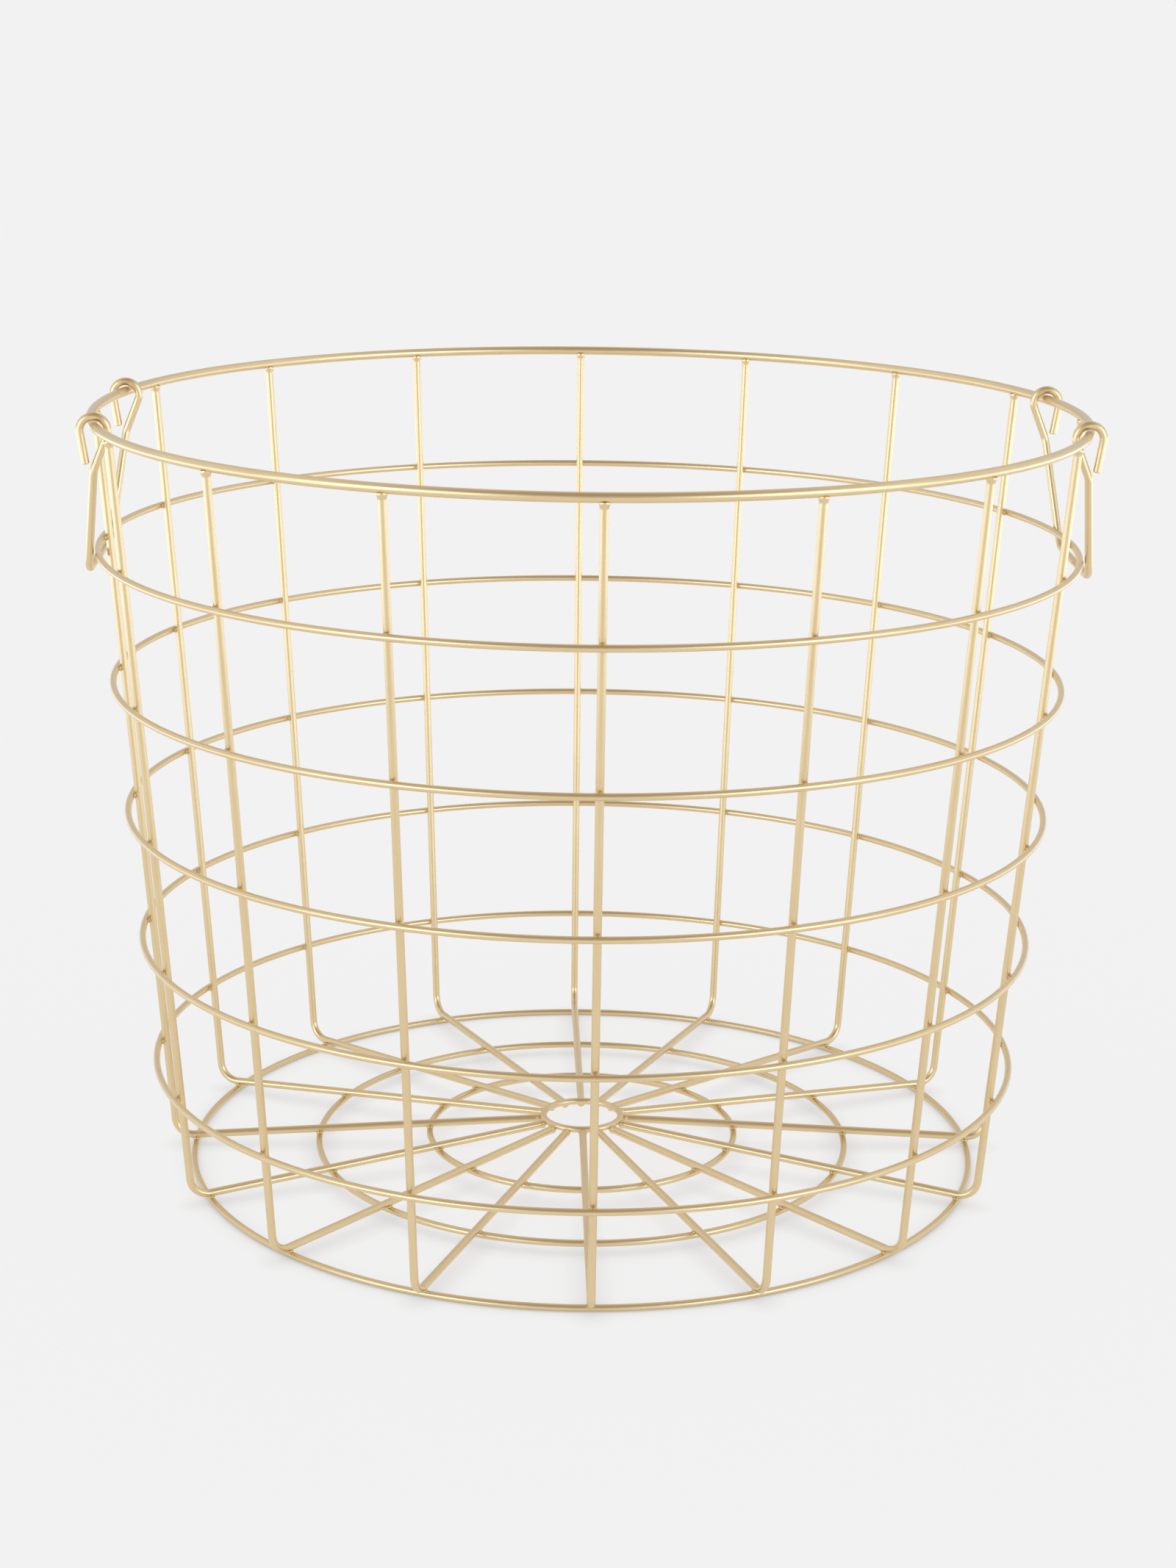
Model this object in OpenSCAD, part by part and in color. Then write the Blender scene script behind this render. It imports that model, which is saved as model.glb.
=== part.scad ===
// Round tapered wire basket with two drop handles.
// Ribs bent in an L carry five hoops outside, a rim on top and four rings in the floor.
// Frame: origin on the floor at the basket's axis, +Z up, a handle at each end of X.

/* [Basket] */
// Height from the floor to the top of the rim wire
basket_h = 320; // [260:1:400]
// Diameter of the rim, measured between wire centres
rim_d = 400; // [360:1:460]
// Diameter of the circle where the ribs' slanted lines meet the floor
foot_d = 348; // [300:1:380]
// Number of L-shaped ribs
rib_count = 16; // [12:4:20]

/* [Wires] */
// Thickness of the rim wire
rim_wire_d = 3.8; // [3.4:0.1:5]
// Thickness of the ribs
rib_wire_d = 3.2; // [2.6:0.1:3.8]
// Thickness of the hoops
hoop_wire_d = 2.8; // [2.2:0.1:3.6]
// Thickness of the rings in the floor
floor_wire_d = 2.8; // [2.2:0.1:3.6]

/* [Hoops] */
// Number of hoops
hoop_count = 5; // [3:1:7]
// Height of the lowest hoop's wire centre above the floor
low_hoop_h = 47; // [35:1:60]
// Drop from the rim to the top hoop, between wire centres
top_hoop_drop = 53; // [46:1:58]

/* [Floor] */
// Radius of each rib's bend at the foot, to the wire centre
foot_bend_r = 8; // [6:0.5:12]
// Height that the floor gains from its edge to its centre
floor_rise = 8.5; // [4:0.5:14]
// Diameter of the outer floor ring, between wire centres
outer_ring_d = 226; // [190:1:260]
// Diameter of the inner floor ring, between wire centres
inner_ring_d = 131; // [90:1:160]
// Diameter of the centre ring, between wire centres
centre_ring_d = 33.2; // [28:0.2:44]
// Height of the centre ring's wire above the spokes' own centre lines
centre_ring_lift = 1.2; // [0:0.1:1.5]

/* [Handles] */
// Thickness of the handle wire
handle_wire_d = 3.2; // [2.6:0.1:4]
// Distance between a handle's two hooks, between wire centres
handle_span = 100; // [86:1:120]
// Width of the grip between the legs' centre lines
grip_w = 66; // [50:1:80]
// Drop from the rim wire's centre to the grip's wire centre
handle_drop = 60; // [59:1:80]
// Corner radius between leg and grip, to the wire centre
grip_corner_r = 8; // [5:0.5:14]
// Radius of the hook that turns over the rim, to the wire centre
hook_r = 5.4; // [5.2:0.1:7]
// Drop from the rim wire's centre to the knee where hook becomes leg
knee_drop = 17; // [15:0.5:24]
// Radius of the knee, to the wire centre
knee_r = 7; // [4:0.5:9]
// Length by which the hook's cut tail stops short of the knee
tail_short = 2; // [1:0.5:4]

/* [Fits] */
// Running gap between a hook and the rim at the top of the hook
hook_gap = 0.5; // [0.4:0.05:0.8]
// Gap between a hanging handle's legs and the top hoop
rest_gap = 0.4; // [0.3:0.05:1]
// Gap between a hook's tail and the handle's leg
tail_gap = 0.6; // [0.4:0.1:1.2]
// Depth to which a rib's ends are welded into the rim and the centre ring
weld_depth = 0.5; // [0.2:0.1:0.8]

/* [Hidden] */
$fn = 96;
wire_sides = 24;
// A bend is this much thicker all round than its straight wire, which ends inside it
bend_swell = 0.02;
bend_seat = 0.1;
gold = "#d9c08c";
pale_gold = "#e2cd9c";

RIBS = [for (i = [1:rib_count]) str("rib_", i < 10 ? "0" : "", i)];
HOOPS = [for (i = [1:hoop_count]) str("hoop_", i)];

rim_r = rim_d / 2;
rim_wire_r = rim_wire_d / 2;
rib_r = rib_wire_d / 2;
hoop_wire_r = hoop_wire_d / 2;
floor_wire_r = floor_wire_d / 2;
handle_wire_r = handle_wire_d / 2;

// Slant of the ribs, from the circle on the floor out to the rim
rim_h = basket_h - rim_wire_r;
taper = (rim_r - foot_d / 2) / rim_h;
slant = atan(taper);
function rib_line_r(h) = foot_d / 2 + taper * h;

// Hoops lie against the outside of the ribs
hoop_pitch = (rim_h - top_hoop_drop - low_hoop_h) / (hoop_count - 1);
function hoop_h(i) = low_hoop_h + hoop_pitch * (hoop_count - i);
function hoop_r(i) = rib_line_r(hoop_h(i)) + (rib_r + hoop_wire_r) / cos(slant);

// Spokes rise from the base ring, which they lie on where the foot's bend ends
floor_slope = atan(floor_rise / (foot_d / 2 - centre_ring_d / 2));
foot_turn = 90 - slant - floor_slope + 2 * slant;
foot_tangent = foot_bend_r * tan(foot_turn / 2);
spoke_over_ring = (floor_wire_r + rib_r) / cos(floor_slope);
corner_h = floor_wire_r + spoke_over_ring - foot_tangent * sin(floor_slope);
corner_r = rib_line_r(corner_h);
base_ring_r = corner_r - foot_tangent * cos(floor_slope);
function spoke_h(r) = corner_h + (corner_r - r) * tan(floor_slope);

// Hinge line of each handle: a chord of the rim, through its wire centre at both hooks
hinge_x = sqrt(pow(rim_r, 2) - pow(handle_span / 2, 2));
hook_drop = hook_r - handle_wire_r - rim_wire_r - hook_gap;
leg_inset = handle_wire_r;
leg_narrowing = (handle_span - grip_w) / 2 / (handle_drop - knee_drop);

// Lean of a hanging handle, whose legs lie against the top hoop
leg_y = handle_span / 2 - leg_narrowing * (top_hoop_drop - knee_drop);
leg_reach = hoop_r(1) + hoop_wire_r + rest_gap + handle_wire_r;
leg_out = sqrt(pow(leg_reach, 2) - pow(leg_y, 2)) - hinge_x;
leg_span = norm([leg_out, top_hoop_drop]);
hang_lean = atan2(leg_out, top_hoop_drop) + asin(leg_inset / leg_span);

function unit(v) = v / norm(v);

// Length of straight wire that a bend of this radius takes from each side of its corner
function bend_length(a, corner, b, r) =
    r * tan(acos(unit(corner - a) * unit(b - corner)) / 2);

// Straight round wire from a to b, with the length by which each end goes into a bend
module straight_wire(a, b, wire_d, seat_a = 0, seat_b = 0) {
    run = b - a;
    translate(a - unit(run) * seat_a)
        rotate([0, acos(run.z / norm(run)), atan2(run.y, run.x)])
            cylinder(h = norm(run) + seat_a + seat_b, d = wire_d);
}

// Round stretch of a bend, from the X axis on
module wire_arc(r, turn, wire_d) {
    rotate_extrude(angle = turn)
        translate([r, 0])
            circle(d = wire_d + 2 * bend_swell, $fn = wire_sides);
}

// Bend of the wire that turns at corner from the line out of a to the line towards b
module wire_bend(a, corner, b, r, wire_d) {
    along = unit(corner - a);
    away = unit(b - corner);
    turn = acos(along * away);
    inward = unit(away - along * (along * away));
    start = corner - along * bend_length(a, corner, b, r);
    centre = start + inward * r;
    across = cross(-inward, along);
    multmatrix([
        [-inward.x, along.x, across.x, centre.x],
        [-inward.y, along.y, across.y, centre.y],
        [-inward.z, along.z, across.z, centre.z],
        [0, 0, 0, 1]
    ])
        wire_arc(r, turn, wire_d);
}

// Wire through the points, each inner point rounded to its own radius
module bent_wire(points, radii, wire_d, end_seat = 0) {
    last = len(points) - 1;
    used = [for (i = [0:last])
        i == 0 || i == last ? 0
            : bend_length(points[i - 1], points[i], points[i + 1], radii[i])];
    for (i = [0:last - 1]) {
        along = unit(points[i + 1] - points[i]);
        straight_wire(
            points[i] + along * used[i],
            points[i + 1] - along * used[i + 1],
            wire_d,
            i == 0 ? end_seat : bend_seat,
            i == last - 1 ? end_seat : bend_seat
        );
    }
    for (i = [1:last - 1])
        wire_bend(points[i - 1], points[i], points[i + 1], radii[i], wire_d);
}

// Round ring of wire at a height
module wire_ring(r, h, wire_d) {
    translate([0, 0, h])
        rotate_extrude()
            translate([r, 0])
                circle(d = wire_d, $fn = wire_sides);
}

module rim() {
    color(gold) wire_ring(rim_r, rim_h, rim_wire_d);
}

module hoop(i) {
    color(gold) wire_ring(hoop_r(i), hoop_h(i), hoop_wire_d);
}

// A floor ring touches the spokes from below
module floor_ring(r) {
    color(gold) wire_ring(r, spoke_h(r) - spoke_over_ring, floor_wire_d);
}

module centre_ring() {
    r = centre_ring_d / 2;
    color(gold) wire_ring(r, spoke_h(r) + centre_ring_lift, floor_wire_d);
}

// One L-shaped rib: a spoke, the foot's bend and an upright, cut to the two rings it butts on
module rib(i) {
    spoke_r = centre_ring_d / 2 + floor_wire_r - weld_depth;
    end_h = rim_h - (rim_wire_r - weld_depth) * cos(slant);
    rotate([0, 0, 360 / rib_count * (i - 1) - 90])
        color(pale_gold)
            difference() {
                bent_wire(
                    [
                        [spoke_r, 0, spoke_h(spoke_r)],
                        [corner_r, 0, corner_h],
                        [rib_line_r(end_h), 0, end_h]
                    ],
                    [0, foot_bend_r, 0],
                    rib_wire_d
                );
                rim();
                centre_ring();
            }
}

// Turn, seen along Y, at which a line from the end point meets the hook's arc as a tangent
function touch_turn(end, side) =
    let (gap = end - [0, -hook_drop])
    atan2(gap.y, gap.x) + side * acos(hook_r / norm(gap));

function hook_point(turn) = [hook_r * cos(turn), hook_r * sin(turn) - hook_drop];

// Handle as it hangs straight down from its hinge line: X outward, Y along the hinge line
module handle_wire() {
    knee = [-leg_inset, -knee_drop];
    inner_turn = touch_turn(knee, -1);
    inner_touch = hook_point(inner_turn);
    tail_drop = knee_drop - tail_short;
    leg_share = (tail_drop + inner_touch.y) / (knee_drop + inner_touch.y);
    leg_x = inner_touch.x + (knee.x - inner_touch.x) * leg_share;
    tail = [leg_x + handle_wire_d + tail_gap, -tail_drop];
    outer_turn = touch_turn(tail, 1);
    outer_touch = hook_point(outer_turn);
    hook_y = handle_span / 2;
    grip_y = grip_w / 2;
    bent_wire(
        [
            [inner_touch.x, -hook_y, inner_touch.y],
            [knee.x, -hook_y, knee.y],
            [knee.x, -grip_y, -handle_drop],
            [knee.x, grip_y, -handle_drop],
            [knee.x, hook_y, knee.y],
            [inner_touch.x, hook_y, inner_touch.y]
        ],
        [0, knee_r, grip_corner_r, grip_corner_r, knee_r, 0],
        handle_wire_d,
        bend_seat
    );
    for (y = [-hook_y, hook_y])
        translate([0, y, 0]) {
            translate([0, 0, -hook_drop])
                rotate([90, 0, 0])
                    rotate([0, 0, outer_turn])
                        wire_arc(hook_r, 360 + inner_turn - outer_turn, handle_wire_d);
            straight_wire(
                [outer_touch.x, 0, outer_touch.y],
                [tail.x, 0, tail.y],
                handle_wire_d,
                bend_seat
            );
        }
}

module handle_right() {
    color(gold)
        translate([hinge_x, 0, rim_h])
            rotate([0, -hang_lean, 0])
                handle_wire();
}

module handle_left() {
    mirror([1, 0, 0]) handle_right();
}

rim();
for (i = [1:hoop_count])
    hoop(i);
floor_ring(base_ring_r);  // base_ring
floor_ring(outer_ring_d / 2);  // outer_floor_ring
floor_ring(inner_ring_d / 2);  // inner_floor_ring
centre_ring();
for (i = [1:rib_count])
    rib(i);
handle_left();
handle_right();
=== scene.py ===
"""Round tapered wire basket in champagne-gold coated steel, on a white shooting table."""
from math import acos, asin, atan, atan2, cos, degrees, hypot, pi, radians, sin, sqrt, tan

import bpy
from mathutils import Matrix, Vector


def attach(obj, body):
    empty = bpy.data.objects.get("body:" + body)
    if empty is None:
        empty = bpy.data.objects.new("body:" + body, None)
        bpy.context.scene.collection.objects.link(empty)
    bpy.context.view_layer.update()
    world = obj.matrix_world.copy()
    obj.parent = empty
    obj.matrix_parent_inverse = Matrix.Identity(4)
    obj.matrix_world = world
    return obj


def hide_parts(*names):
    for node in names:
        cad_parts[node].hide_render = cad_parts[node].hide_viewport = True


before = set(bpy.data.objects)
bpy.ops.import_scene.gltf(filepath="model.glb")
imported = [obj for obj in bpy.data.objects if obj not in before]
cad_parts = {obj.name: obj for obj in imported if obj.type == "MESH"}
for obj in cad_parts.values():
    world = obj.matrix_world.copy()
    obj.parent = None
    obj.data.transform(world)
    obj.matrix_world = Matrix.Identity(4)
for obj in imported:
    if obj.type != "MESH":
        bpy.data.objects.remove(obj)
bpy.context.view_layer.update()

# Sizes, in millimetres, as in the basket's own source
BASKET_H = 320.0
RIM_D = 400.0
FOOT_D = 348.0
RIB_COUNT = 16
RIM_WIRE_D = 3.8
RIB_WIRE_D = 3.2
HOOP_WIRE_D = 2.8
FLOOR_WIRE_D = 2.8
HOOP_COUNT = 5
LOW_HOOP_H = 47.0
TOP_HOOP_DROP = 53.0
FOOT_BEND_R = 8.0
FLOOR_RISE = 8.5
OUTER_RING_D = 226.0
INNER_RING_D = 131.0
CENTRE_RING_D = 33.2
CENTRE_RING_LIFT = 1.2
WELD_DEPTH = 0.5
HANDLE_WIRE_D = 3.2
HANDLE_SPAN = 100.0
GRIP_W = 66.0
HANDLE_DROP = 60.0
GRIP_CORNER_R = 8.0
HOOK_R = 5.4
KNEE_DROP = 17.0
KNEE_R = 7.0
TAIL_SHORT = 2.0
HOOK_GAP = 0.5
REST_GAP = 0.4
TAIL_GAP = 0.6

# Worked out from them, as the source does
RIM_R = RIM_D / 2
RIM_H = BASKET_H - RIM_WIRE_D / 2
TAPER = (RIM_R - FOOT_D / 2) / RIM_H
SLANT = atan(TAPER)
HOOP_PITCH = (RIM_H - TOP_HOOP_DROP - LOW_HOOP_H) / (HOOP_COUNT - 1)
FLOOR_SLOPE = atan(FLOOR_RISE / (FOOT_D / 2 - CENTRE_RING_D / 2))
FOOT_TURN = pi / 2 + SLANT - FLOOR_SLOPE
FOOT_TANGENT = FOOT_BEND_R * tan(FOOT_TURN / 2)
SPOKE_OVER_RING = (FLOOR_WIRE_D + RIB_WIRE_D) / 2 / cos(FLOOR_SLOPE)
CORNER_H = FLOOR_WIRE_D / 2 + SPOKE_OVER_RING - FOOT_TANGENT * sin(FLOOR_SLOPE)
CORNER_R = FOOT_D / 2 + TAPER * CORNER_H
BASE_RING_R = CORNER_R - FOOT_TANGENT * cos(FLOOR_SLOPE)

# How finely wires are drawn
RING_STEPS = 240
WIRE_SIDES = 20
THIN_WIRE_SIDES = 16
DEGREES_PER_BEND_STEP = 7.5
MERGE_GAP = 0.0005

# Welds, in millimetres: (distance along the weld's axis, width there)
# A nugget is squeezed out between two crossing wires, and a collar flares towards a ring
NUGGET = [(-0.8, 1.2), (-0.5, 2.6), (0.0, 3.2), (0.5, 2.6), (0.8, 1.2)]
BUTT_COLLAR = [(-2.6, 3.1), (-1.6, 3.4), (-0.7, 3.9), (0.0, 4.4), (0.5, 4.1)]
SPOKE_COLLAR = [(-2.2, 3.1), (-1.3, 3.4), (-0.5, 3.7), (0.2, 3.6)]
WELD_SIDES = 10
CUT_BEVEL = 0.4

# The coat, in millimetres: cloudy patches of tone, and the orange peel of the sprayed lacquer
CLOUD_W = 22.0
PEEL_W = 1.2

# Light of the studio. The table's own glow and what it throws back come to the tent's glow,
# so no horizon shows between them
TENT_GLOW = 0.888
TABLE_GLOW = 0.738
# Near the wires the table's glow drops towards the first value, within the second's reach in
# millimetres: a painted contact shadow
TABLE_GLOW_IN_PAINTED_SHADOW = 0.4
WIRE_SHADE_REACH = 10.0
SHEET_GLOW = 1.0
SOFT_BOX_GLOW = 1.95

# The photograph's camera, found from the ellipses of the basket's rings
CAMERA_AT = (-0.03078, -1.20814, 0.49366)
CAMERA_TURN = radians(-1.497)
CAMERA_TIP = radians(15.345)
CAMERA_ROLL = radians(0.739)
FOCAL_PX = 4072.6
PHOTO_TALL_PX = 2134
SENSOR_MM = 36.0

MM = 0.001


def rib_line_r(height):
    """Distance of the ribs' slanted centre lines from the axis."""
    return FOOT_D / 2 + TAPER * height


def hoop_h(i):
    """Height of a hoop. The first is the top one."""
    return LOW_HOOP_H + HOOP_PITCH * (HOOP_COUNT - i)


def hoop_r(i):
    """Radius of a hoop that lies against the ribs' outer sides."""
    return rib_line_r(hoop_h(i)) + (RIB_WIRE_D + HOOP_WIRE_D) / 2 / cos(SLANT)


def spoke_h(radius):
    """Height of the spokes' centre lines, which rise towards the middle of the floor."""
    return CORNER_H + (CORNER_R - radius) * tan(FLOOR_SLOPE)


# Wires, drawn as a wire former works: a round end is pushed forward and bent round corners


def start_wire(name, place, along, wire_d, sides, filled=True):
    """A round face or ring of points at the place, in edit mode, all of it selected."""
    if bpy.context.object and bpy.context.object.mode != "OBJECT":
        bpy.ops.object.mode_set(mode="OBJECT")
    bpy.ops.object.select_all(action="DESELECT")
    bpy.ops.mesh.primitive_circle_add(
        vertices=sides,
        radius=wire_d / 2 * MM,
        fill_type="NGON" if filled else "NOTHING",
        location=Vector(place) * MM,
        rotation=Vector(along).to_track_quat("Z", "Y").to_euler(),
    )
    piece = bpy.context.object
    piece.name = name
    piece.data.name = name
    bpy.ops.object.transform_apply(location=True, rotation=True, scale=True)
    bpy.ops.object.mode_set(mode="EDIT")
    bpy.ops.mesh.select_all(action="SELECT")
    return piece


def push_wire(step):
    """Draws the selected end forward."""
    step = Vector(step) * MM
    bpy.ops.mesh.extrude_region_move(TRANSFORM_OT_translate={"value": step})


def swell_wire(step, centre, factor):
    """Draws the selected end forward to the centre and makes it wider or narrower there."""
    push_wire(step)
    centre = Vector(centre) * MM
    bpy.ops.transform.resize(value=(factor, factor, factor), center_override=centre)


def bend_wire(turn, centre, axis):
    """Bends the selected end round the centre. The spin operator turns the other way round."""
    steps = max(2, round(degrees(turn) / DEGREES_PER_BEND_STEP))
    centre = Vector(centre) * MM
    bpy.ops.mesh.spin(steps=steps, angle=-turn, center=centre, axis=Vector(axis))


def close_wire(piece, smooth_angle=40):
    """Merges doubles, turns the faces outward and shades the round of the wire smooth."""
    bpy.ops.mesh.select_all(action="SELECT")
    bpy.ops.mesh.remove_doubles(threshold=MERGE_GAP * MM)
    bpy.ops.mesh.normals_make_consistent(inside=False)
    bpy.ops.object.mode_set(mode="OBJECT")
    bpy.ops.object.shade_smooth_by_angle(angle=radians(smooth_angle))
    return piece


def ring_wire(name, radius, height, wire_d, sides):
    """A closed ring of wire, spun from its section."""
    piece = start_wire(name, (0, -radius, height), (1, 0, 0), wire_d, sides, filled=False)
    bpy.ops.mesh.spin(steps=RING_STEPS, angle=2 * pi, center=(0, 0, 0), axis=(0, 0, 1))
    return close_wire(piece, smooth_angle=180)


def draw_wire(name, points, radii, wire_d, sides, end_bevel=0.0):
    """A wire through the points, with each inner point rounded to its own radius.

    Where the ends were cut, end_bevel is how far their edges are chamfered.
    """
    points = [Vector(p) for p in points]
    along = (points[1] - points[0]).normalized()
    narrow = 1 - 2 * end_bevel / wire_d
    piece = start_wire(name, points[0], along, wire_d * narrow, sides)
    at = points[0]
    if end_bevel:
        at = at + along * end_bevel
        swell_wire(along * end_bevel, at, 1 / narrow)
    for corner, after, radius in zip(points[1:-1], points[2:], radii):
        along = (corner - at).normalized()
        away = (after - corner).normalized()
        turn = along.angle(away)
        reach = radius * tan(turn / 2)
        bend_start = corner - along * reach
        # A bend may start right where the last one ended, with no straight between
        if (bend_start - at).length > wire_d / 1000:
            push_wire(bend_start - at)
        inward = (away - along * along.dot(away)).normalized()
        bend_wire(turn, bend_start + inward * radius, along.cross(away))
        at = corner + away * reach
    end = points[-1]
    along = (end - at).normalized()
    push_wire(end - along * end_bevel - at)
    if end_bevel:
        swell_wire(along * end_bevel, end, narrow)
    return piece


# Finishes


def linear(hex_colour):
    """An sRGB hex colour as the linear values that the shader works in, with its alpha."""
    channels = [int(hex_colour[i:i + 2], 16) / 255 for i in (1, 3, 5)]
    low, high = 0.04045, 2.4
    return [c / 12.92 if c <= low else ((c + 0.055) / 1.055) ** high for c in channels] + [1.0]


def add_node(tree, kind, links=(), **settings):
    """Adds a node with its settings. links are (input socket, output socket) pairs."""
    node = tree.nodes.new(kind)
    for key, value in settings.items():
        if hasattr(node, key):
            setattr(node, key, value)
        else:
            node.inputs[key.replace("_", " ")].default_value = value
    for socket, source in links:
        tree.links.new(source, node.inputs[socket])
    return node


def new_material(name):
    """A new material with its node tree and its shader."""
    material = bpy.data.materials.new(name)
    material.use_nodes = True
    tree = material.node_tree
    shader = tree.nodes["Principled BSDF"]
    return material, tree, shader


def gold_coat(name, light_hex, deep_hex, roughness, bump_mm):
    """Steel wire in a satin champagne-gold coat: a metallic lacquer, sprayed and baked.

    The coat gives a soft bright line along each wire. Its tone clouds a little where it is
    thicker, and its orange peel breaks up the edge of the bright line.
    """
    material, tree, shader = new_material(name)
    place = add_node(tree, "ShaderNodeTexCoord")
    cloud = add_node(tree, "ShaderNodeTexNoise", [("Vector", place.outputs["Object"])],
                     Scale=1 / (CLOUD_W * MM), Detail=3.0, Roughness=0.55)
    tone = add_node(tree, "ShaderNodeMix", [(0, cloud.outputs["Fac"])], data_type="RGBA")
    tone.inputs["A"].default_value = linear(deep_hex)
    tone.inputs["B"].default_value = linear(light_hex)
    tree.links.new(tone.outputs["Result"], shader.inputs["Base Color"])
    peel = add_node(tree, "ShaderNodeTexNoise", [("Vector", place.outputs["Object"])],
                    Scale=1 / (PEEL_W * MM), Detail=2.0, Roughness=0.5)
    rough = add_node(tree, "ShaderNodeMapRange", [("Value", peel.outputs["Fac"])])
    rough.inputs["To Min"].default_value = roughness - 0.05
    rough.inputs["To Max"].default_value = roughness + 0.05
    tree.links.new(rough.outputs["Result"], shader.inputs["Roughness"])
    bump = add_node(tree, "ShaderNodeBump", [("Height", peel.outputs["Fac"])],
                    Strength=0.25, Distance=bump_mm * MM)
    tree.links.new(bump.outputs["Normal"], shader.inputs["Normal"])
    shader.inputs["Metallic"].default_value = 1.0
    shader.inputs["Coat Weight"].default_value = 0.25
    shader.inputs["Coat Roughness"].default_value = 0.2
    return material


COAT_TONES = ("#EBD4A9", "#E1C89B")
WIRE_GOLD = gold_coat("satin_gold_coat", *COAT_TONES, roughness=0.3, bump_mm=0.02)
HANDLE_GOLD = gold_coat("satin_gold_coat_on_handles", *COAT_TONES, roughness=0.3, bump_mm=0.02)
# Over weld metal the same coat lies thin and uneven, so the welds are duller
# Their darker tone is painted shade, as falls where the wires cross
WELD_GOLD_WITH_PAINTED_SHADE = gold_coat("gold_coat_over_welds_with_painted_shade", "#E2CFA4", "#CFBB8F",
                      roughness=0.4, bump_mm=0.06)


def dress(piece, body, slot, material, *nodes):
    """Gives a finished piece its finish, its body and the nodes that it stands for."""
    piece.data.materials.clear()
    piece.data.materials.append(material)
    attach(piece, body)
    if nodes:
        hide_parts(*nodes)


# Rim, hoops and floor rings


def make_rings():
    """The rim, the hoops outside the ribs, the rings under the spokes and the centre ring."""
    rings = [("rim", RIM_R, RIM_H, RIM_WIRE_D, WIRE_SIDES)]
    for i in range(1, HOOP_COUNT + 1):
        rings.append((f"hoop_{i}", hoop_r(i), hoop_h(i), HOOP_WIRE_D, THIN_WIRE_SIDES))
    for name, radius in (("base_ring", BASE_RING_R),
                         ("outer_floor_ring", OUTER_RING_D / 2),
                         ("inner_floor_ring", INNER_RING_D / 2)):
        height = spoke_h(radius) - SPOKE_OVER_RING
        rings.append((name, radius, height, FLOOR_WIRE_D, THIN_WIRE_SIDES))
    centre_r = CENTRE_RING_D / 2
    centre_h = spoke_h(centre_r) + CENTRE_RING_LIFT
    rings.append(("centre_ring", centre_r, centre_h, FLOOR_WIRE_D, THIN_WIRE_SIDES))
    for node, radius, height, wire_d, sides in rings:
        piece = ring_wire(node + "_wire", radius, height, wire_d, sides)
        dress(piece, "basket", "basket_wire", WIRE_GOLD, node)


# Ribs: the first is drawn at the front, and the others are copies turned round the axis


def draw_rib():
    """The front rib, from its end on the centre ring, round the foot and up to the rim."""
    spoke_r = CENTRE_RING_D / 2 + FLOOR_WIRE_D / 2 - WELD_DEPTH
    end_h = RIM_H - (RIM_WIRE_D / 2 - WELD_DEPTH) * cos(SLANT)
    rib = draw_wire(
        "rib_01_wire",
        [
            (0, -spoke_r, spoke_h(spoke_r)),
            (0, -CORNER_R, CORNER_H),
            (0, -rib_line_r(end_h), end_h),
        ],
        [FOOT_BEND_R],
        RIB_WIRE_D,
        WIRE_SIDES,
    )
    return close_wire(rib)


def make_ribs():
    """The front rib and its 15 copies."""
    first = draw_rib()
    for i in range(1, RIB_COUNT + 1):
        rib = first
        if i > 1:
            rib = bpy.data.objects.new(f"rib_{i:02d}_wire", first.data.copy())
            bpy.context.collection.objects.link(rib)
            rib.data.transform(Matrix.Rotation(2 * pi / RIB_COUNT * (i - 1), 4, "Z"))
        dress(rib, "basket", "basket_wire", WIRE_GOLD, f"rib_{i:02d}")


# Welds: one nugget or collar is drawn round the Z axis, and its copies go to the 16 ribs


def draw_weld(name, profile):
    """A body of revolution along Z, drawn as a wire that swells and narrows along the profile."""
    height, width = profile[0]
    piece = start_wire(name, (0, 0, height), (0, 0, 1), width, WELD_SIDES)
    for next_height, next_width in profile[1:]:
        swell_wire((0, 0, next_height - height), (0, 0, next_height), next_width / width)
        height, width = next_height, next_width
    return close_wire(piece, smooth_angle=60)


def weld_place(radius, height, out, up):
    """The matrix that lays a weld at the front rib, with its Z axis along (out, up)."""
    turn = Matrix.Rotation(atan2(out, up), 4, "X")
    return Matrix.Translation(Vector((0, -radius, height)) * MM) @ turn


def make_weld_row(name, profile, place, material):
    """One row of 16 welds, one at each rib, joined into one piece."""
    first = draw_weld(name, profile)
    first.data.transform(place)
    row = [first]
    for i in range(1, RIB_COUNT):
        weld = bpy.data.objects.new(f"{name}_{i}", first.data.copy())
        bpy.context.collection.objects.link(weld)
        weld.data.transform(Matrix.Rotation(2 * pi / RIB_COUNT * i, 4, "Z"))
        row.append(weld)
    bpy.ops.object.select_all(action="DESELECT")
    for weld in row:
        weld.select_set(True)
    bpy.context.view_layer.objects.active = first
    bpy.ops.object.join()
    dress(first, "basket", "basket_wire", material)


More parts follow.
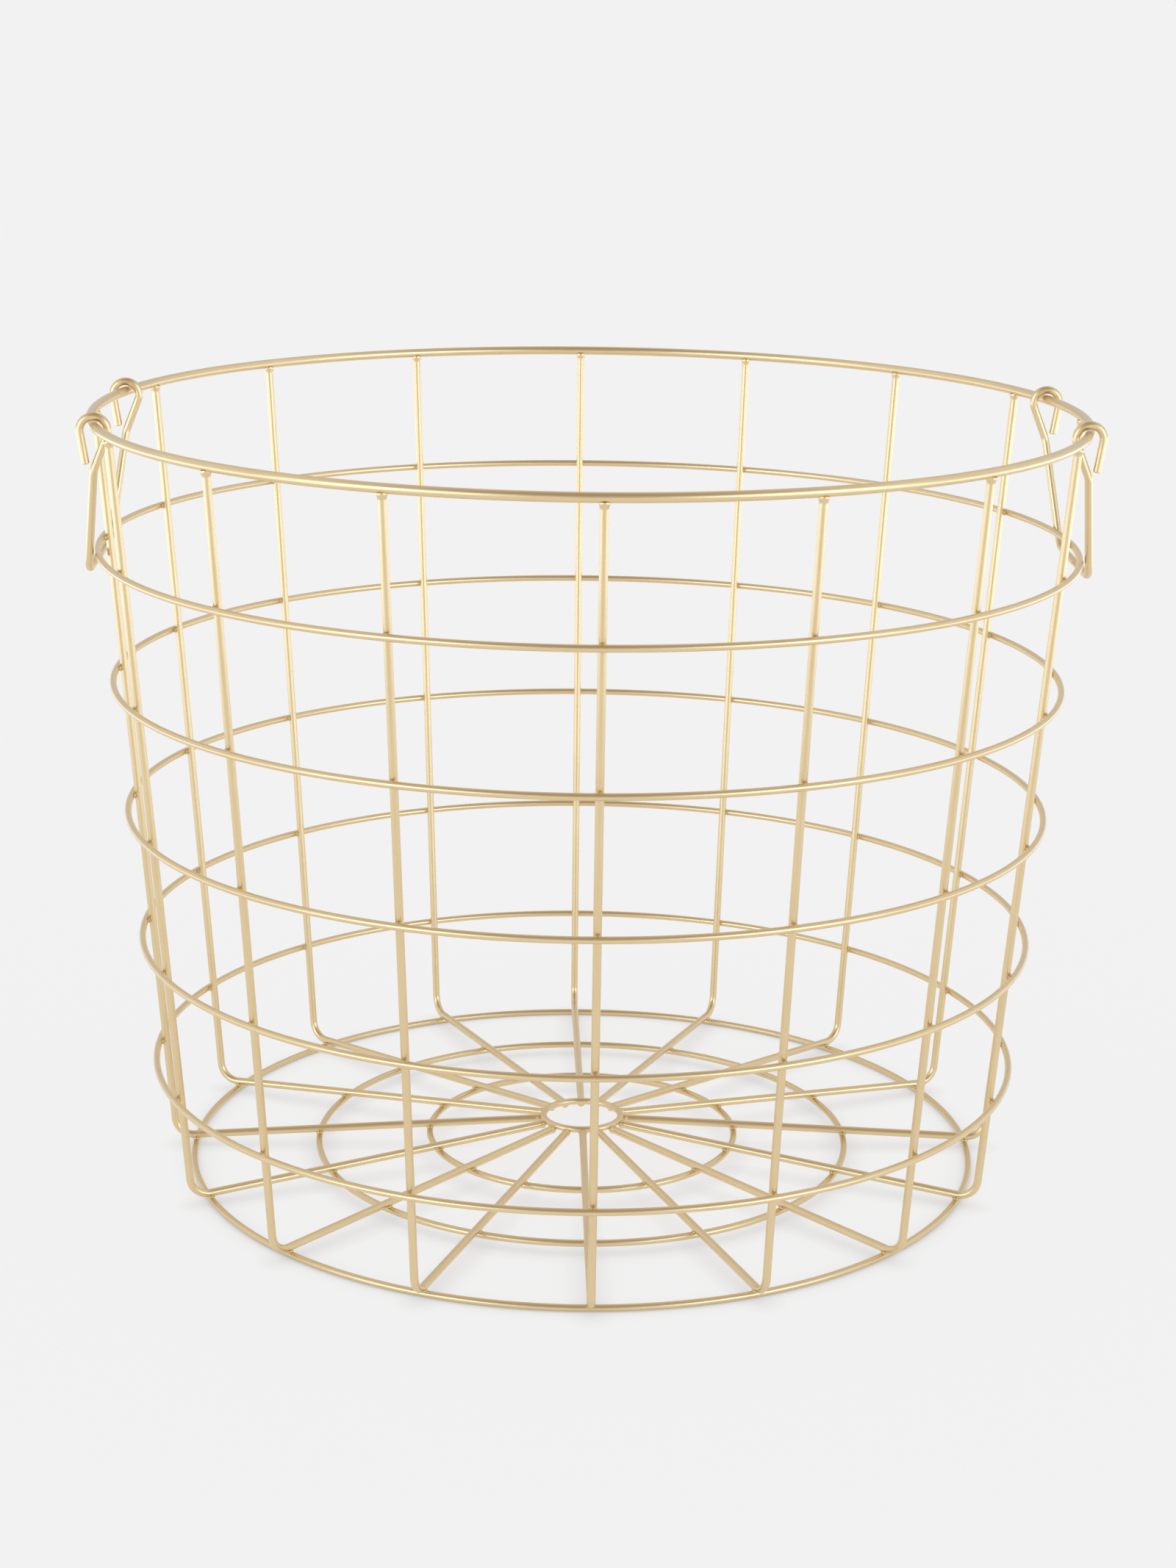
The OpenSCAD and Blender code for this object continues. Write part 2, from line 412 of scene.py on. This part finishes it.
def make_welds():
    """Nuggets where wires cross, and collars where ribs and spokes end on a ring."""
    # Hoops lie against the ribs' outer sides
    for i in range(1, HOOP_COUNT + 1):
        radius = hoop_r(i) - HOOP_WIRE_D / 2 * cos(SLANT)
        height = hoop_h(i) + HOOP_WIRE_D / 2 * sin(SLANT)
        place = weld_place(radius, height, cos(SLANT), -sin(SLANT))
        make_weld_row(f"hoop_{i}_welds", NUGGET, place, WELD_GOLD_WITH_PAINTED_SHADE)
    # Floor rings lie under the spokes
    for name, ring_r in (("base_ring_welds", BASE_RING_R),
                         ("outer_floor_ring_welds", OUTER_RING_D / 2),
                         ("inner_floor_ring_welds", INNER_RING_D / 2)):
        radius = ring_r + FLOOR_WIRE_D / 2 * sin(FLOOR_SLOPE)
        height = spoke_h(ring_r) - SPOKE_OVER_RING + FLOOR_WIRE_D / 2 * cos(FLOOR_SLOPE)
        place = weld_place(radius, height, sin(FLOOR_SLOPE), cos(FLOOR_SLOPE))
        make_weld_row(name, NUGGET, place, WELD_GOLD_WITH_PAINTED_SHADE)
    # Ribs butt under the rim, and spokes on the outer side of the centre ring
    height = RIM_H - RIM_WIRE_D / 2 * cos(SLANT)
    place = weld_place(rib_line_r(height), height, sin(SLANT), cos(SLANT))
    make_weld_row("rim_welds", BUTT_COLLAR, place, WIRE_GOLD)
    radius = CENTRE_RING_D / 2 + FLOOR_WIRE_D / 2
    place = weld_place(radius, spoke_h(radius), -cos(FLOOR_SLOPE), sin(FLOOR_SLOPE))
    make_weld_row("centre_ring_welds", SPOKE_COLLAR, place, WIRE_GOLD)


# Handles: one wire each, from the cut tail of one hook round the rim, down to the grip and back


def touch_turn(end, side, hook_drop):
    """Turn at which a line from the end point meets the hook's arc."""
    x, z = end[0], end[1] + hook_drop
    return atan2(z, x) + side * acos(HOOK_R / hypot(x, z))


def hook_corner(end, side, hook_drop):
    """Where the line from the end point, along the hook's arc, meets the arc's top tangent."""
    turn = touch_turn(end, side, hook_drop)
    touch = (HOOK_R * cos(turn), HOOK_R * sin(turn) - hook_drop)
    share = (HOOK_R - hook_drop - end[1]) / (touch[1] - end[1])
    return end[0] + (touch[0] - end[0]) * share, HOOK_R - hook_drop


def handle_points():
    """The handle's corners as it hangs straight down: X outward from the hinge line, Z up."""
    hook_drop = HOOK_R - HANDLE_WIRE_D / 2 - RIM_WIRE_D / 2 - HOOK_GAP
    knee = (-HANDLE_WIRE_D / 2, -KNEE_DROP)
    turn = touch_turn(knee, -1, hook_drop)
    touch = (HOOK_R * cos(turn), HOOK_R * sin(turn) - hook_drop)
    tail_drop = KNEE_DROP - TAIL_SHORT
    share = (tail_drop + touch[1]) / (KNEE_DROP + touch[1])
    leg_x = touch[0] + (knee[0] - touch[0]) * share
    tail = (leg_x + HANDLE_WIRE_D + TAIL_GAP, -tail_drop)
    outer = hook_corner(tail, 1, hook_drop)
    inner = hook_corner(knee, -1, hook_drop)
    hook = [(p[0], HANDLE_SPAN / 2, p[1]) for p in (tail, outer, inner, knee)]
    grip = [(knee[0], GRIP_W / 2, -HANDLE_DROP)]
    half = hook + grip
    radii = [HOOK_R, HOOK_R, KNEE_R, GRIP_CORNER_R]
    other = [(x, -y, z) for x, y, z in reversed(half)]
    return half + other, radii + radii[::-1]


def hang_lean(hinge_x):
    """Lean at which the hanging handle's legs lie against the top hoop."""
    narrowing = (HANDLE_SPAN - GRIP_W) / 2 / (HANDLE_DROP - KNEE_DROP)
    leg_y = HANDLE_SPAN / 2 - narrowing * (TOP_HOOP_DROP - KNEE_DROP)
    reach = hoop_r(1) + HOOP_WIRE_D / 2 + REST_GAP + HANDLE_WIRE_D / 2
    out = sqrt(reach ** 2 - leg_y ** 2) - hinge_x
    return atan2(out, TOP_HOOP_DROP) + asin(HANDLE_WIRE_D / 2 / hypot(out, TOP_HOOP_DROP))


def make_handles():
    """Both handles, hanging outside against the top hoop. The left one mirrors the right one."""
    hinge_x = sqrt(RIM_R ** 2 - (HANDLE_SPAN / 2) ** 2)
    points, radii = handle_points()
    lean = Matrix.Rotation(-hang_lean(hinge_x), 4, "Y")
    hang = Matrix.Translation((hinge_x, 0, RIM_H)) @ lean
    for side, body in ((1, "right_handle"), (-1, "left_handle")):
        node = "handle_right" if side == 1 else "handle_left"
        placed = [hang @ Vector(p) for p in points]
        placed = [(side * p.x, p.y, p.z) for p in placed]
        piece = draw_wire(node + "_wire", placed, radii, HANDLE_WIRE_D, WIRE_SIDES,
                          end_bevel=CUT_BEVEL)
        close_wire(piece)
        dress(piece, body, "handle_wire", HANDLE_GOLD, node)


# Studio: a self-lit white table, two light sheets beside the view, and a pale tent all round


def make_floor():
    """A self-lit shooting table that glows evenly, with a painted contact shadow under the wires.

    It runs far past the view, to where it meets the tent in the same tone.
    """
    bpy.ops.object.select_all(action="DESELECT")
    bpy.ops.mesh.primitive_plane_add(size=120.0, location=(0, 0, 0))
    floor = bpy.context.object
    floor.name = "studio_floor"
    material, tree, shader = new_material("self_lit_table_with_painted_shadow")
    shader.inputs["Base Color"].default_value = linear("#7C7C7E")
    shader.inputs["Emission Color"].default_value = linear("#FFFFFF")
    # 1 on the bare table, and less where a wire is near: the mask of the painted contact shadow
    openness = add_node(tree, "ShaderNodeAmbientOcclusion", samples=8,
                        Distance=WIRE_SHADE_REACH * MM)
    glow = add_node(tree, "ShaderNodeMapRange", [("Value", openness.outputs["AO"])])
    glow.inputs["To Min"].default_value = TABLE_GLOW_IN_PAINTED_SHADOW
    glow.inputs["To Max"].default_value = TABLE_GLOW
    tree.links.new(glow.outputs["Result"], shader.inputs["Emission Strength"])
    shader.inputs["Roughness"].default_value = 1.0
    shader.inputs["Specular IOR Level"].default_value = 0.0
    floor.data.materials.append(material)


def add_light_sheet(name, place, size):
    """A glowing sheet that lies flat on the table, in metres.

    The camera doesn't see it, but the wires mirror it.
    """
    light = bpy.data.lights.new(name, "AREA")
    light.shape = "RECTANGLE"
    light.size, light.size_y = size
    light.energy = SHEET_GLOW * pi * size[0] * size[1]
    light.color = linear("#D6EAFF")[:3]
    sheet = bpy.data.objects.new(name, light)
    bpy.context.collection.objects.link(sheet)
    sheet.location = place
    # Turned over, as an area light shines down by itself
    sheet.rotation_euler = (pi, 0, 0)
    sheet.visible_camera = False


def make_light_sheets():
    """Sheets at both sides of the view, which brighten the uprights' flanks."""
    for side, name in ((1, "light_sheet_right"), (-1, "light_sheet_left")):
        add_light_sheet(name, place=(side * 3.8, 0.0, 0.001), size=(6.0, 5.0))


def tent_patch(tree, toward, centre, edge, core, change):
    """A soft-edged patch of the tent: its full change within the core, none past the edge.

    Core and edge are angles in degrees from the patch's centre direction.
    """
    nearness = add_node(tree, "ShaderNodeVectorMath", [(0, toward)], operation="DOT_PRODUCT")
    nearness.inputs[1].default_value = centre
    patch = add_node(tree, "ShaderNodeMapRange", [("Value", nearness.outputs["Value"])],
                     interpolation_type="SMOOTHSTEP")
    patch.inputs["From Min"].default_value = cos(radians(edge))
    patch.inputs["From Max"].default_value = cos(radians(core))
    patch.inputs["To Min"].default_value = 0.0
    patch.inputs["To Max"].default_value = change
    return patch.outputs["Result"]


def tent_direction(azimuth, elevation):
    """A direction from the basket: azimuth in degrees from the camera's side, to the right."""
    a, e = radians(azimuth), radians(elevation)
    return sin(a) * cos(e), -cos(a) * cos(e), sin(e)


def make_light_tent():
    """A pale tent all round: a dimmer slot over the camera, and a soft box at either side of it."""
    world = bpy.data.worlds.new("white_light_tent")
    bpy.context.scene.world = world
    world.use_nodes = True
    tree = world.node_tree
    place = add_node(tree, "ShaderNodeTexCoord")
    toward = place.outputs["Generated"]
    # Pulled out sideways, so that a round patch becomes a tall slot
    wide = add_node(tree, "ShaderNodeVectorMath", [(0, toward)], operation="MULTIPLY")
    wide.inputs[1].default_value = (2.2, 1.0, 1.0)
    toward_slot = add_node(tree, "ShaderNodeVectorMath", [(0, wide.outputs["Vector"])],
                           operation="NORMALIZE")
    opening = tent_patch(tree, toward_slot.outputs["Vector"], tent_direction(0, 60),
                         edge=76, core=20, change=1.0)
    # The low back wall is a little dimmer, which the spokes in front mirror
    wall = tent_patch(tree, toward, tent_direction(180, 10), edge=60, core=18, change=-0.2)
    cloth = add_node(tree, "ShaderNodeMath", [(0, wall)], operation="ADD")
    cloth.inputs[1].default_value = TENT_GLOW
    # The slot shows the warmer room behind the tent, so it takes away more blue than red
    room = add_node(tree, "ShaderNodeVectorMath", [(0, opening), (2, cloth.outputs["Value"])],
                    operation="MULTIPLY_ADD")
    room.inputs[1].default_value = (-0.44, -0.51, -0.58)
    left_box, right_box = (
        tent_patch(tree, toward, tent_direction(azimuth, 4), edge=32, core=12,
                   change=SOFT_BOX_GLOW)
        for azimuth in (-46, 46)
    )
    boxes = add_node(tree, "ShaderNodeMath", [(0, left_box), (1, right_box)], operation="ADD")
    tent = tree.nodes["Background"]
    tree.links.new(room.outputs["Vector"], tent.inputs["Color"])
    daylight = add_node(tree, "ShaderNodeBackground", [("Strength", boxes.outputs["Value"])])
    daylight.inputs["Color"].default_value = linear("#C6E9FF")
    both = add_node(tree, "ShaderNodeAddShader",
                    [(0, tent.outputs["Background"]), (1, daylight.outputs["Background"])])
    # The camera sees the tent's plain cloth, and only the wires and the table get its lights
    plain = add_node(tree, "ShaderNodeBackground", Strength=TENT_GLOW)
    plain.inputs["Color"].default_value = linear("#FFFFFF")
    seen = add_node(tree, "ShaderNodeLightPath")
    backdrop = add_node(tree, "ShaderNodeMixShader",
                        [(0, seen.outputs["Is Camera Ray"]), (1, both.outputs["Shader"]),
                         (2, plain.outputs["Background"])])
    tree.links.new(backdrop.outputs["Shader"], tree.nodes["World Output"].inputs["Surface"])


def make_camera():
    """The photograph's camera: turned about Z, tipped down and rolled."""
    camera_data = bpy.data.cameras.new("camera")
    camera_data.sensor_width = SENSOR_MM
    camera_data.lens = FOCAL_PX * SENSOR_MM / PHOTO_TALL_PX
    camera_data.clip_start = 0.05
    camera_data.clip_end = 200.0
    camera = bpy.data.objects.new("camera", camera_data)
    bpy.context.collection.objects.link(camera)
    turn = Matrix.Rotation(CAMERA_TURN, 4, "Z")
    tip = Matrix.Rotation(pi / 2 - CAMERA_TIP, 4, "X")
    roll = Matrix.Rotation(CAMERA_ROLL, 4, "Z")
    camera.matrix_world = Matrix.Translation(CAMERA_AT) @ turn @ tip @ roll
    bpy.context.scene.camera = camera


make_rings()
make_ribs()
make_welds()
make_handles()
make_floor()
make_light_sheets()
make_light_tent()
make_camera()
bpy.context.scene.view_settings.view_transform = "Standard"
